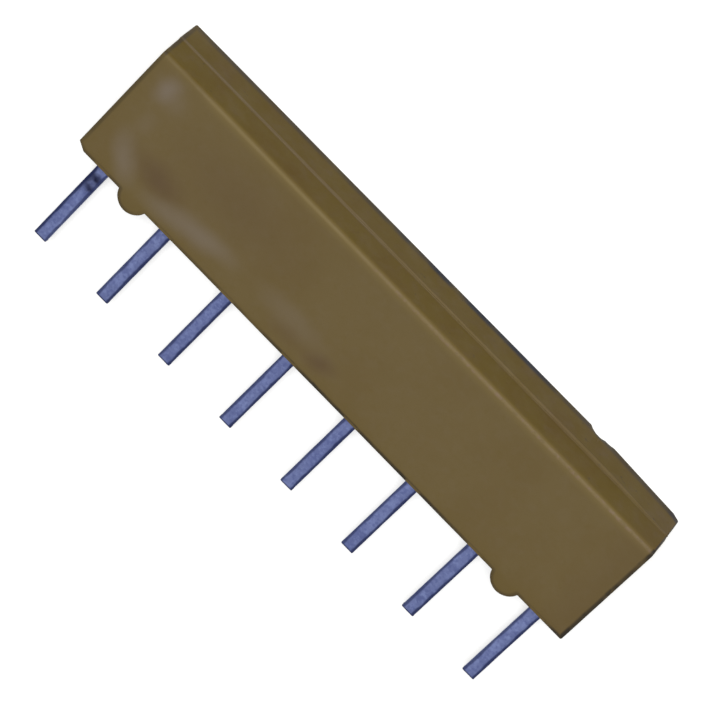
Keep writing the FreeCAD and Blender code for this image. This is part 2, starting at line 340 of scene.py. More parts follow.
def clean(piece, flat_within=math.radians(0.2)):
    """Merges what lies on one place or in one plane."""
    with editing(piece):
        bpy.ops.mesh.select_all(action="SELECT")
        bpy.ops.mesh.remove_doubles(threshold=NEAR)
        bpy.ops.mesh.dissolve_limited(angle_limit=flat_within)


def slice_up(piece, axis, start, stop, step):
    """Cuts across a mesh at even steps along an axis, so that a gentle wave can follow."""
    normal = Vector((0, 0, 0))
    normal[axis] = 1
    with editing(piece):
        for index in range(math.ceil((stop - start) / step)):
            place = Vector((0, 0, 0))
            place[axis] = start + index * step
            bpy.ops.mesh.select_all(action="SELECT")
            bpy.ops.mesh.bisect(plane_co=place, plane_no=normal, threshold=NEAR)


def finish_piece(piece, name, material, replaced, smooth_angle=35):
    """Smooths a modelled piece, scales it to metres and hangs it on the frame in place of a solid."""
    activate(piece)
    bpy.ops.object.shade_smooth_by_angle(angle=math.radians(smooth_angle))
    piece.matrix_world = Matrix.Scale(MM, 4) @ piece.matrix_world
    bpy.ops.object.transform_apply(location=True, rotation=True, scale=True)
    piece.name = name
    piece.data.name = name
    piece.data.materials.clear()
    piece.data.materials.append(material)
    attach(piece, "root")
    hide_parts(replaced)


# Material helpers

def new_material(name):
    """Material with no nodes yet; returns it and its node tree."""
    material = bpy.data.materials.new(name)
    material.use_nodes = True
    material.node_tree.nodes.clear()
    return material, material.node_tree


def add_node(tree, kind, sockets=None, **settings):
    """Adds a shader node with its settings, and gives each named socket a value or a node's output."""
    node = tree.nodes.new("ShaderNode" + kind)
    for name, value in settings.items():
        setattr(node, name, value)
    for name, value in (sockets or {}).items():
        if isinstance(value, bpy.types.NodeSocket):
            tree.links.new(value, node.inputs[name])
        else:
            node.inputs[name].default_value = value
    return node.outputs


def coordinates(tree):
    """A piece's own coordinates in millimetres, and the direction that its surface faces."""
    own = add_node(tree, "TexCoord")
    position = add_node(tree, "VectorMath", {"Vector": own["Object"], "Scale": 1 / MM}, operation="SCALE")
    return position["Vector"], own["Normal"]


def combined(tree, operation, *masks):
    """Several masks or numbers worked into one, two at a time."""
    result = masks[0]
    for mask in masks[1:]:
        result = add_node(tree, "Math", {0: result, 1: mask}, operation=operation)["Value"]
    return result


def zone(tree, vector, soft, **limits):
    """Mask that is 1 within limits for X, Y or Z, and fades to 0 over a soft border outside them. A single
    value stands for all three, so that its limits are given for X."""
    axes = add_node(tree, "SeparateXYZ", {"Vector": vector})
    sides = []
    for axis, (low, high) in limits.items():
        for edge, outside in ((low, -soft), (high, soft)):
            if edge is not None:
                sides.append(add_node(tree, "MapRange", {
                    "Value": axes[axis], "From Min": edge + outside, "From Max": edge},
                    interpolation_type="SMOOTHSTEP")["Result"])
    return combined(tree, "MINIMUM", *sides)


def blotches(tree, vector, size, low, high, seed=0, detail=3):
    """Soft-edged blotches of one size in millimetres: 0 where the noise is below low, and 1 above high."""
    noise = add_node(tree, "TexNoise", {
        "Vector": vector, "W": seed, "Scale": 1 / size, "Detail": detail}, noise_dimensions="4D")
    return add_node(tree, "MapRange", {"Value": noise["Fac"], "From Min": low, "From Max": high},
                    interpolation_type="SMOOTHSTEP")["Result"]


def stirred(tree, vector, size, amount):
    """Coordinates pushed about by a smooth noise, which gives a regular patch an irregular outline."""
    noise = add_node(tree, "TexNoise", {"Vector": vector, "Scale": 1 / size, "Detail": 2})
    push = add_node(tree, "VectorMath", {0: noise["Color"], 1: (0.5, 0.5, 0.5)}, operation="SUBTRACT")
    return add_node(tree, "VectorMath", {0: push["Vector"], 1: (amount, amount, amount), 2: vector},
                    operation="MULTIPLY_ADD")["Vector"]


def patch(tree, vector, x, y, half_length, half_width, turn):
    """Soft oval patch on the XY plane, 1 in its middle and 0 at its rim."""
    local = add_node(tree, "Mapping", {
        "Vector": vector, "Location": (x, y, 0), "Rotation": (0, 0, math.radians(turn)),
        "Scale": (half_length, half_width, 100)}, vector_type="TEXTURE")
    ball = add_node(tree, "TexGradient", {"Vector": local["Vector"]}, gradient_type="SPHERICAL")
    return add_node(tree, "MapRange", {"Value": ball["Fac"]}, interpolation_type="SMOOTHSTEP")["Result"]


def patches(tree, vector, places, x, y, tint):
    """Layers of one colour, each a soft patch placed from one point."""
    return [(patch(tree, vector, x + along, y + up, *size), strength, tint)
            for along, up, size, strength in places]


def lead_row():
    """Middle of the first lead along X, and the step from one lead to the next."""
    first, last = node_box(LEADS[0]), node_box(LEADS[-1])
    start = (first[0].x + first[1].x) / 2
    return start, ((last[0].x + last[1].x) / 2 - start) / (len(LEADS) - 1)


def beside_lead(tree, position):
    """How far a point is from the middle of the nearest lead along X, with its sign."""
    start, pitch = lead_row()
    axes = add_node(tree, "SeparateXYZ", {"Vector": position})
    from_first = add_node(tree, "Math", {0: axes["X"], 1: start}, operation="SUBTRACT")
    return add_node(tree, "Math", {0: from_first["Value"], 1: -pitch / 2, 2: pitch / 2},
                    operation="WRAP")["Value"]


def layered(tree, base, *layers):
    """Colour that starts from a base and takes on each layer's colour, by its mask times its strength."""
    for mask, strength, tint in layers:
        factor = add_node(tree, "Math", {0: mask, 1: strength}, operation="MULTIPLY")["Value"]
        base = add_node(tree, "Mix", {MIX_FACTOR: factor, MIX_A: base, MIX_B: tint},
                        data_type="RGBA")[MIX_RESULT]
    return base


def surface(tree, vector, grain, depth, rough, smooth, patchiness, **sockets):
    """Principled shader with a fine grain in its bump, and a roughness that wanders between two values in
    patches; sizes in millimetres."""
    height = add_node(tree, "TexNoise", {"Vector": vector, "Scale": 1 / grain, "Detail": 4})
    bump = add_node(tree, "Bump", {"Height": height["Fac"], "Distance": depth * MM})
    wander = add_node(tree, "TexNoise", {"Vector": vector, "Scale": 1 / patchiness, "Detail": 3})
    roughness = add_node(tree, "MapRange", {
        "Value": wander["Fac"], "From Min": 0.3, "From Max": 0.7, "To Min": smooth, "To Max": rough})
    named = {name.replace("_", " "): value for name, value in sockets.items()}
    shader = add_node(tree, "BsdfPrincipled", {
        "Normal": bump["Normal"], "Roughness": roughness["Result"], **named})
    add_node(tree, "OutputMaterial", {"Surface": shader["BSDF"]})


# Body

# Soft patches on the front face: how far along from its left end and up from its lower edge, half length,
# half width and turn, and strength.
RUBBED = [
    (1.02, 3.40, (0.92, 0.80, -10), 0.42),
    (0.86, 3.50, (0.76, 0.46, 72), 1.00),
    (1.28, 0.87, (1.25, 0.60, -50), 0.70),
    (1.07, 2.10, (0.75, 0.45, 90), 0.25),
    (3.20, 0.50, (1.30, 0.50, 6), 0.50),
    (4.35, 0.86, (1.90, 0.62, 8), 0.80),
    (7.90, 1.10, (2.10, 0.60, 0), 0.36),
]
STAINED = [
    (4.50, 2.50, (3.80, 1.90, 0), 0.32),
    (2.45, 1.15, (1.60, 0.80, -8), 0.70),
    (9.35, 0.72, (0.80, 0.50, 15), 0.65),
    (8.10, 0.62, (1.10, 0.45, 0), 0.30),
]

# Where the painted highlight on the front face's upper edge and the painted shade along the body's edges
# change along the body, in millimetres from the first lead's end.
RIM_HIGHLIGHT_FROM = 2.3
RIM_GREY_FROM = 12.0
SHADE_STRONG_FROM, SHADE_STRONG_TO = 9.5, 13.5

# Cuts across the body that let its waves follow, for X, Y and Z: how far the first one lies from the left
# end, the underside or the back face, and the step from one to the next.
BODY_SLICES = [(0.1, 0.2), (0.2, 0.35), (0.3, 0.4)]

# Section of the bead from the front half to the back half: share of the bead's width that each step goes
# back, and share of its rise that the step goes outwards.
BEAD_STEPS = [(0.15, 0.7), (0.25, 0.3), (0.20, 0.0), (0.25, -0.3), (0.60, -0.7)]


def body_place(body, leads):
    """Middle, ends, underside and upper side of the front face, both faces in Z, the plane halfway between
    them, and the mould's joint at both ends."""
    boxes = [node_box(name) for name in LEADS]
    x = sum((low.x + high.x) / 2 for low, high in boxes) / len(boxes) - body.row_offset
    under = boxes[0][0].y + leads.reach
    low, high = node_box("housing")
    halfway = (low.z + high.z) / 2
    joint = halfway + body.joint_lift
    return SimpleNamespace(x=x, left=x - body.body_length / 2, right=x + body.body_length / 2,
                           under=under, top=under + body.height, back=low.z, front=high.z,
                           halfway=halfway, first_joint=joint, last_joint=joint + body.joint_climb)


def trim(piece, point, normal, fill=True):
    """Cuts off what lies on the far side of a plane."""
    with editing(piece):
        bpy.ops.mesh.select_all(action="SELECT")
        bpy.ops.mesh.bisect(plane_co=point, plane_no=Vector(normal).normalized(), use_fill=fill,
                            clear_outer=True, threshold=CUT_NEAR)


def standoff_places(body):
    """X of the standoffs, between the first two and the last two leads."""
    start, pitch = lead_row()
    return [start + (step + 0.5) * pitch - body.standoff_aside for step in (0, len(LEADS) - 2)]


def body_outline(body, place):
    """Outline of the front face as one flat face, with the blunt corner and the standoffs. A standoff is
    drawn with straight tangents, then its root and foot corners are rounded to arcs that touch."""
    outline = add_primitive(bpy.ops.mesh.primitive_plane_add, "outline",
                            (place.x, place.under + body.height / 2, place.front),
                            (body.body_length, body.height, 1), size=1)
    trim(outline, (place.left + body.corner_cut_along, place.under, 0),
         (-body.corner_cut_up, -body.corner_cut_along, 0), fill=False)

    rise = body.standoff_radius - body.standoff_drop + body.standoff_root_radius
    span = body.standoff_radius + body.standoff_root_radius
    reach = math.sqrt(span ** 2 - rise ** 2)
    tangent = math.tan(math.acos(rise / span) / 2)
    root = reach - body.standoff_root_radius * tangent
    foot = body.standoff_radius * tangent
    foot_y = place.under - body.standoff_drop
    with editing(outline):
        for x in standoff_places(body):
            for side in (x - root, x + root):
                bpy.ops.mesh.select_all(action="SELECT")
                bpy.ops.mesh.bisect(plane_co=(side, 0, 0), plane_no=(1, 0, 0), threshold=CUT_NEAR)
            select(outline, "edges", lambda e: all(v.co.y < place.under + NEAR for v in e.verts)
                   and abs(middle_of(e).x - x) < NEAR)
            bpy.ops.mesh.extrude_region_move(TRANSFORM_OT_translate={"value": (0, -body.standoff_drop, 0)})
            bpy.ops.transform.resize(value=(foot / root, 1, 1), center_override=(x, foot_y, place.front))
        bpy.ops.mesh.select_mode(type="FACE")
        bpy.ops.mesh.select_all(action="SELECT")
        bpy.ops.mesh.dissolve_faces()
        select(outline, "verts", lambda v: abs(v.co.y - place.under) < NEAR
               and any(abs(abs(v.co.x - x) - root) < NEAR for x in standoff_places(body)))
        bpy.ops.mesh.bevel(offset=body.standoff_root_radius * tangent, segments=7, affect="VERTICES",
                           clamp_overlap=False)
        select(outline, "verts", lambda v: abs(v.co.y - foot_y) < NEAR)
        bpy.ops.mesh.bevel(offset=foot, segments=14, affect="VERTICES", clamp_overlap=False)
        bpy.ops.mesh.select_all(action="SELECT")
        bpy.ops.mesh.remove_doubles(threshold=NEAR)
    return outline


def next_level(solid, z, drop):
    """Extrudes the cap at one level down to the next one; returns that level."""
    select(solid, "faces", lambda face: all(abs(v.co.z - z) < NEAR for v in face.verts))
    bpy.ops.mesh.extrude_region_move(TRANSFORM_OT_translate={"value": (0, 0, -drop)})
    return z - drop


def spread(solid, body, place, z, across, endwise, swell):
    """Grows the outline at one level: the two long sides by across, the two ends by endwise, and the round
    part of the standoffs by swell."""
    foot_y = place.under - body.standoff_drop
    middle_y = place.under + body.height / 2

    def pick(wanted):
        select(solid, "verts", lambda v: abs(v.co.z - z) < NEAR and wanted(v.co))

    for x in standoff_places(body):
        pick(lambda p: abs(p.x - x) < body.standoff_radius * 1.4 and p.y < place.under + body.height / 4)
        bpy.ops.transform.resize(value=(1 + swell / body.standoff_radius, 1, 1),
                                 center_override=(x, foot_y, z))
    pick(lambda p: p.y < middle_y)
    bpy.ops.transform.resize(value=(1, 1 - (across - swell) / body.standoff_drop, 1),
                             center_override=(place.x, foot_y, z))
    bpy.ops.transform.translate(value=(0, -swell, 0))
    pick(lambda p: p.y > middle_y)
    bpy.ops.transform.translate(value=(0, across, 0))
    for side in (-1, 1):
        pick(lambda p: (p.x - place.x) * side > (body.body_length - body.corner_cut_along) / 2)
        bpy.ops.transform.translate(value=(side * endwise, 0, 0))


def weigh(solid, share, wanted):
    """Gives the wanted edges a bevel weight."""
    select(solid, "edges", wanted)
    bpy.ops.transform.edge_bevelweight(value=-1)
    bpy.ops.transform.edge_bevelweight(value=share)


def weigh_edges(solid, body, place):
    """Bevel weights for all corners but the blunt one, for both rims, and in full for the upper edge."""
    sharpest_turn = math.radians(45)
    weigh(solid, body.corner_radius / body.upper_rim_radius,
          lambda e: abs(e.verts[0].co.z - e.verts[1].co.z) > NEAR
          and abs(middle_of(e).x - place.x) > body.body_length / 2 - 1.5 * body.corner_cut_along
          and e.calc_face_angle(0) > sharpest_turn
          and (middle_of(e).x > place.x or middle_of(e).y > place.under + body.height / 2))
    weigh(solid, body.rim_radius / body.upper_rim_radius,
          lambda e: any(all(abs(v.co.z - face) < NEAR for v in e.verts)
                        for face in (place.front, place.back)))
    weigh(solid, 1, lambda e: all(abs(v.co.z - place.front) < NEAR and v.co.y > place.top - NEAR
                                  for v in e.verts))


def moulded_solid(body, place):
    """Both halves of the moulding in one closed mesh. It is extruded level by level from the front face: out
    along the draft to the mould's joint, round the bead, and in along the back half, which is skewed."""
    solid = body_outline(body, place)
    thickness = place.front - place.halfway
    draft_across = thickness * math.tan(body.long_side_draft)
    draft_endwise = thickness * math.tan(body.end_draft)
    with editing(solid):
        z = next_level(solid, place.front, thickness - body.bead_width / 2)
        spread(solid, body, place, z, draft_across, draft_endwise, 0)
        for back_share, out_share in BEAD_STEPS:
            z = next_level(solid, z, back_share * body.bead_width)
            grown = out_share * body.bead_rise
            spread(solid, body, place, z, grown, grown / 4, grown)
        select(solid, "verts", lambda v: abs(v.co.z - z) < NEAR)
        bpy.ops.transform.rotate(value=-body.mould_skew, orient_axis="Z",
                                 center_override=(place.left, place.under, z))
        bpy.ops.transform.translate(value=(body.mould_slip, 0, 0))
        select(solid, "verts", lambda v: abs(v.co.z - z) < NEAR
               and v.co.x > place.x + (body.body_length - body.corner_cut_along) / 2)
        bpy.ops.transform.translate(value=(-body.back_short, 0, 0))
        z = next_level(solid, z, z - place.back)
        spread(solid, body, place, z, -draft_across, -draft_endwise, 0)
        bpy.ops.mesh.select_all(action="SELECT")
        bpy.ops.mesh.normals_make_consistent(inside=False)
        weigh_edges(solid, body, place)
    modify(solid, "BEVEL", width=body.upper_rim_radius, segments=6, limit_method="WEIGHT",
           use_clamp_overlap=False)
    with editing(solid):
        select(solid, "verts", lambda v: abs(v.co.z - place.halfway) < body.bead_width)
        bpy.ops.transform.translate(value=(0, 0, body.joint_lift))
        bpy.ops.transform.rotate(value=math.atan2(body.joint_climb, body.body_length), orient_axis="Y",
                                 center_override=(place.left, place.under, place.first_joint))
    return solid


def rough_ball(name, centre, radius, grain_size, grain):
    """Ball with an uneven skin, which takes a broken-looking scoop out of an edge."""
    ball = add_primitive(bpy.ops.mesh.primitive_ico_sphere_add, name, centre, subdivisions=6, radius=radius)
    ripple(ball, name + "_grain", grain_size, grain)
    return ball


def ripple(piece, name, size, height, depth=2):
    """Moves a mesh in and out by a smooth noise whose features have the given size."""
    noise = bpy.data.textures.new(name, "CLOUDS")
    noise.noise_scale = size
    noise.noise_depth = depth
    modify(piece, "DISPLACE", texture=noise, texture_coords="LOCAL", strength=height, mid_level=0.5)


def back_top(body, place, x):
    """Height of the back half's upper edge, which the skew lifts towards the last lead."""
    return place.top + math.tan(body.mould_skew) * (x - place.left)


def worn_wedge(body, damage, place, length, depth):
    """Block above a plane that falls to a depth at the body's end and rises to the mould's joint."""
    start = place.right - length
    growth = (place.last_joint - place.back) * math.tan(body.long_side_draft)
    near = Vector((start, back_top(body, place, start), place.back))
    low = Vector((place.right, back_top(body, place, place.right) - depth, place.back))
    far = Vector((place.right, place.top + growth, place.last_joint))
    wedge = add_box("worn", (start - length, place.top - 2 * depth, place.back - damage.margin),
                    (place.right + damage.margin, place.top + 2 * damage.margin, place.last_joint))
    trim(wedge, near, (low - near).cross(far - near))
    return wedge


def worn_corner(body, damage, place):
    """Block with a hollow side that rounds off the front half's upper corner beside the last lead. The
    hollow widens towards the mould's joint."""
    growth = (place.front - place.last_joint) * math.tan(body.long_side_draft)
    top = place.top + growth
    foot = place.last_joint - body.bead_width
    half_size = Vector((damage.front_corner_along, damage.front_corner_down + growth,
                        (place.front + 2 * damage.margin - foot) / 2))
    core = add_primitive(bpy.ops.mesh.primitive_cylinder_add, "corner_core",
                         (place.right - half_size.x, top - half_size.y, foot + half_size.z), half_size,
                         vertices=64, radius=1, depth=2)
    wider = damage.front_corner_growth
    with editing(core):
        select(core, "verts", lambda v: v.co.z < foot + NEAR)
        bpy.ops.transform.resize(value=(wider, wider, 1), center_override=(place.right, top, foot))
    block = add_box("corner", (place.right - wider * half_size.x, top - wider * half_size.y,
                               place.last_joint - 0.9 * body.bead_width),
                    (place.right + damage.margin, top + damage.margin, place.front + damage.margin))
    combine(block, core, "DIFFERENCE")
    return block


def inside_outline(tree, position, body, place):
    """How far inside the front face's outline a point lies, with its upper edge left out of account."""
    axes = add_node(tree, "SeparateXYZ", {"Vector": position})
    from_left = add_node(tree, "Math", {0: axes["X"], 1: place.left}, operation="SUBTRACT")
    from_right = add_node(tree, "Math", {0: place.right, 1: axes["X"]}, operation="SUBTRACT")
    from_under = add_node(tree, "Math", {0: axes["Y"], 1: place.under}, operation="SUBTRACT")
    from_corner = add_node(tree, "VectorMath", {
        0: position, 1: (place.left + body.corner_cut_along, place.under, 0)}, operation="SUBTRACT")
    across_cut = Vector((body.corner_cut_up, body.corner_cut_along, 0)).normalized()
    from_cut = add_node(tree, "VectorMath", {0: from_corner["Vector"], 1: across_cut},
                        operation="DOT_PRODUCT")
    inside = combined(tree, "MINIMUM", from_left["Value"], from_right["Value"], from_under["Value"],
                      from_cut["Value"])
    flat = add_node(tree, "VectorMath", {0: position, 1: (1, 1, 0)}, operation="MULTIPLY")["Vector"]
    for x in standoff_places(body):
        middle = (x, place.under - body.standoff_drop + body.standoff_radius, 0)
        reach = add_node(tree, "VectorMath", {0: flat, 1: middle}, operation="DISTANCE")["Value"]
        inside_round = add_node(tree, "Math", {0: body.standoff_radius, 1: reach},
                                operation="SUBTRACT")["Value"]
        inside = add_node(tree, "Math", {0: inside, 1: inside_round, 2: body.standoff_radius / 3},
                          operation="SMOOTH_MAX")["Value"]
    return inside


def front_edge_shade(tree, position, depth, body, place):
    """Mask of the painted shade along the front face's ends and lower edge, but not over the leads' roots;
    depth is how far inside the face's outline a point lies."""
    aside = add_node(tree, "Math", {0: beside_lead(tree, position)}, operation="ABSOLUTE")["Value"]
    clear_of_leads = combined(tree, "MAXIMUM", zone(tree, aside, 0.12, X=(0.34, None)),
                              zone(tree, position, 0.1, Y=(place.under + 0.15, None)))
    along_edge = zone(tree, depth, 0.8 * body.edge_shade_width, X=(None, 0.6 * body.edge_shade_width))
    on_face = zone(tree, position, 0.05, Z=(place.front - 0.08, None))
    return combined(tree, "MINIMUM", along_edge, on_face, clear_of_leads)


def back_and_upper_shade(tree, position, normal, place):
    """Mask of the painted shade round the upper side and along the back half's edges."""
    turned = add_node(tree, "VectorMath", {"Vector": normal}, operation="ABSOLUTE")["Vector"]
    on_back = combined(tree, "MINIMUM", zone(tree, turned, 0.15, Z=(0.25, 0.85)),
                       zone(tree, normal, 0.2, Y=(None, 0.2)),
                       zone(tree, position, 0.1, Z=(None, place.halfway)))
    behind = zone(tree, position, 0.20, Z=(None, place.back + 0.16))
    at_ends = combined(tree, "MAXIMUM", zone(tree, position, 0.08, X=(None, place.left + 0.08)),
                       zone(tree, position, 0.06, X=(place.right - 0.06, None)))
    on_upper = combined(tree, "MINIMUM", zone(tree, normal, 0.2, Y=(0.6, None)),
                        combined(tree, "MAXIMUM", behind, at_ends))
    return combined(tree, "MAXIMUM", on_back, on_upper)


def joint_bead(tree, position, body, place):
    """Mask of the bead along the mould's joint, which climbs towards the last lead."""
    climb = body.joint_climb / body.body_length
    height = add_node(tree, "VectorMath", {0: position, 1: (-climb, 0, 1)},
                      operation="DOT_PRODUCT")["Value"]
    joint = place.first_joint - climb * place.left
    half_width = 0.9 * body.bead_width
    return zone(tree, height, body.bead_width, X=(joint - half_width, joint + half_width))


def compound_tint(tree, settings, position, front, depth, place):
    """Colour of the cloudy compound, with the front face painted lighter than the upper side as painted
    light, and with stains and rubbed patches.
    """
    tint = layered(
        tree, settings.compound,
        (blotches(tree, position, 1.4, 0.45, 0.7, seed=1), 0.5, settings.brown),
        (blotches(tree, position, 0.5, 0.48, 0.72, seed=2), 0.45, settings.mauve),
        (blotches(tree, position, 0.12, 0.5, 0.75, seed=3), 0.35, settings.brown),
        (blotches(tree, position, 0.22, 0.66, 0.74, seed=16), 0.35, settings.specks_and_shade),
        # The front face's lighter colour is painted light.
        (front, 1.0, settings.lit_front))
    margin = combined(tree, "MINIMUM", front, zone(tree, depth, 0.7, X=(None, 0.1)))
    smudged = stirred(tree, position, 1.2, 0.4)
    return layered(
        tree, tint,
        (blotches(tree, position, 2.6, 0.45, 0.65, seed=4), 0.15, settings.brown),
        (blotches(tree, position, 0.30, 0.45, 0.70, seed=17), 0.07, settings.rubbed),
        (blotches(tree, position, 0.16, 0.5, 0.75, seed=6), 0.12, settings.compound),
        (margin, 0.14, settings.compound),
        (zone(tree, position, 0.3, Y=(None, place.under)), 0.15, settings.compound),
        *patches(tree, smudged, STAINED, place.left, place.under, settings.stained),
        *patches(tree, smudged, RUBBED, place.left, place.under, settings.rubbed))


def rim_highlight_tint(tree, tint, settings, position, normal, grey_end, place):
    """Colour of the front face's upper edge, painted pale as a painted highlight: weakest beside the first
    lead, and with grey flecks towards the last one."""
    highlight_strength = add_node(tree, "MapRange", {
        "Value": zone(tree, position, 0.8, X=(place.left + RIM_HIGHLIGHT_FROM, None)), "To Min": 0.2})["Result"]
    highlight_patches = blotches(tree, position, 0.5, 0.15, 0.5, seed=7)
    fillet = combined(tree, "MINIMUM", zone(tree, normal, 0.35, Y=(0.35, 0.50), Z=(0.3, None)),
                      zone(tree, position, 0.05, Y=(place.top - 0.3, None), Z=(place.halfway + 0.3, None)))
    # glow: the painted highlight's soft spill onto the front face below the edge.
    glow = combined(tree, "MINIMUM", zone(tree, position, 0.26, Y=(place.top - 0.14, None)),
                    zone(tree, position, 0.16, Z=(place.front - 0.04, None)))
    first_end = zone(tree, position, 1.0, X=(None, place.left + 0.9))
    fleck_share = add_node(tree, "MapRange", {"Value": grey_end, "To Min": 0.05})["Result"]
    flecks = [combined(tree, "MULTIPLY", fillet, fleck_share,
                       blotches(tree, position, 0.12, 0.50, full, seed=seed))
              for full, seed in ((0.62, 9), (0.64, 18))]
    return layered(
        tree, tint,
        (combined(tree, "MULTIPLY", glow, highlight_strength), 0.45, settings.rim_highlight),
        (combined(tree, "MULTIPLY", fillet, highlight_patches, highlight_strength), 0.85, settings.rim_highlight),
        (combined(tree, "MINIMUM", fillet, first_end), 0.3, settings.compound),
        (combined(tree, "MULTIPLY", fillet, grey_end), 0.25, settings.rim_highlight_grey),
        (flecks[0], 0.9, settings.rim_highlight_grey),
        (flecks[1], 0.6, settings.lit_front))


def bead_and_shade_tint(tree, tint, settings, position, normal, front, depth, grey_end, body, place):
    """Colour of the bead along the mould's joint, and of the painted shade along the edges, strongest over
    one stretch of the body and at the last lead's end."""
    last_end = zone(tree, position, 1.2, X=(place.right - 0.3, None))
    # Stretch of the body where the painted shade along the edges is strongest.
    shade_stretch = zone(tree, position, 3, X=(place.left + SHADE_STRONG_FROM, place.left + SHADE_STRONG_TO))
    shade_strongest = combined(tree, "MAXIMUM", shade_stretch, zone(tree, position, 0.3, X=(place.right - 0.3, None)))
    share = add_node(tree, "MapRange", {"Value": shade_strongest, "To Min": 0.55})["Result"]
    uneven = blotches(tree, position, 0.9, 0.15, 0.55, seed=5, detail=2)
    spots = blotches(tree, position, 0.4, 0.48, 0.60, seed=10)
    stretch_margin_shade = combined(tree, "MULTIPLY", front, shade_stretch, zone(tree, depth, 0.13, X=(None, 0.06)))
    faint_end = add_node(tree, "MapRange", {"Value": grey_end, "To Min": 1, "To Max": 0.4})["Result"]
    bead = combined(tree, "MULTIPLY", joint_bead(tree, position, body, place), faint_end)
    front_shade = combined(tree, "MULTIPLY", front_edge_shade(tree, position, depth, body, place), share)
    other_shade = combined(tree, "MULTIPLY", back_and_upper_shade(tree, position, normal, place), share, uneven)
    return layered(
        tree, tint,
        (last_end, 0.2, settings.stained),
        (stretch_margin_shade, 0.16, settings.edge_shade),
        (bead, 0.5, settings.flash),
        (other_shade, 1.0, settings.specks_and_shade),
        (combined(tree, "MULTIPLY", front_shade, uneven), 0.85, settings.edge_shade),
        (combined(tree, "MULTIPLY", front_shade, shade_strongest, spots), 0.8, settings.edge_shade))


def moulding_compound(settings, body, place):
    """Transfer-moulded epoxy full of silica. It looks satin and even from afar, with faint brown and greyish
    clouds and a fine grain up close. Its front face is painted lighter than the upper side as painted light,
    that face's upper edge carries a painted highlight, and painted shade lies along its other sharp edges."""
    material, tree = new_material("filled_epoxy_transfer_moulded")
    position, normal = coordinates(tree)
    front = zone(tree, position, 0.10, Z=(place.front - 0.02, None))
    depth = inside_outline(tree, position, body, place)
    grey_end = zone(tree, position, 6.0, X=(place.left + RIM_GREY_FROM, None))
    tint = compound_tint(tree, settings, position, front, depth, place)
    tint = rim_highlight_tint(tree, tint, settings, position, normal, grey_end, place)
    tint = bead_and_shade_tint(tree, tint, settings, position, normal, front, depth, grey_end, body, place)
    surface(tree, position, grain=0.05, depth=0.002, rough=0.70, smooth=0.58, patchiness=0.8,
            Base_Color=tint, Specular_IOR_Level=0.2)
    return material


class NETWORK_OT_body(bpy.types.Operator):
    """Models the moulded body"""
    bl_idname = "network.body"
    bl_label = "Moulded Body"

    def execute(self, context):
        body = millimetres(context.scene.network_body)
        damage = millimetres(context.scene.network_damage)
        place = body_place(body, millimetres(context.scene.network_leads))
        solid = moulded_solid(body, place)
        chip_x = place.right - damage.chip_from_end
        for x, radius, depth, behind in (
                (chip_x, damage.deep_radius, damage.deep_depth, damage.deep_behind),
                (chip_x + damage.shallow_offset, damage.shallow_radius, damage.shallow_depth,
                 damage.shallow_behind)):
            rise = math.sqrt(radius ** 2 - behind ** 2)
            centre = (x, back_top(body, place, x) + rise - depth, place.back - behind)
            ball = rough_ball("scoop", centre, radius, damage.scoop_grain_size, damage.scoop_grain)
            combine(solid, ball, "DIFFERENCE")
        for along, deep in ((damage.worn_length, damage.worn_depth),
                            (damage.worn_tip_length, damage.worn_tip_depth)):
            combine(solid, worn_wedge(body, damage, place, along, deep), "DIFFERENCE")
        combine(solid, worn_corner(body, damage, place), "DIFFERENCE")
        clean(solid)
        spans = ((place.left, place.right), (place.under, place.top), (place.back, place.front))
        for axis, ((start, stop), (first, step)) in enumerate(zip(spans, BODY_SLICES)):
            slice_up(solid, axis, start + first, stop, step)
        ripple(solid, "sink_marks", body.wave_size, body.waviness)
        finish_piece(solid, "moulded_body", moulding_compound(context.scene.network_body, body, place),
                     "housing")
        return {"FINISHED"}


# Leads

# Step of the cuts along a lead's stem, which let its uneven coat follow. The first cut is half a
# step from the tip.
STEM_SLICE = 0.12

# Soft patches on the leads: which lead, with 0 for the first one, how far aside and down from its root,
# half length, half width and turn, and strength. The first list is pale flecks in the coat, the second is
# burnt flux.
FLECKS = [
    (1, -0.05, 2.16, (0.13, 0.10, 60), 0.8),
    (7, 0.00, 1.86, (0.14, 0.09, 60), 0.9),
    (7, -0.04, 2.32, (0.11, 0.08, 60), 0.8),
]
BURNT = [
    (0, 0.04, 1.00, (0.34, 0.28, 0), 1.0),
    (0, 0.05, 1.36, (0.28, 0.24, 0), 0.9),
    (0, -0.22, 1.10, (0.80, 0.24, 90), 1.0),
]


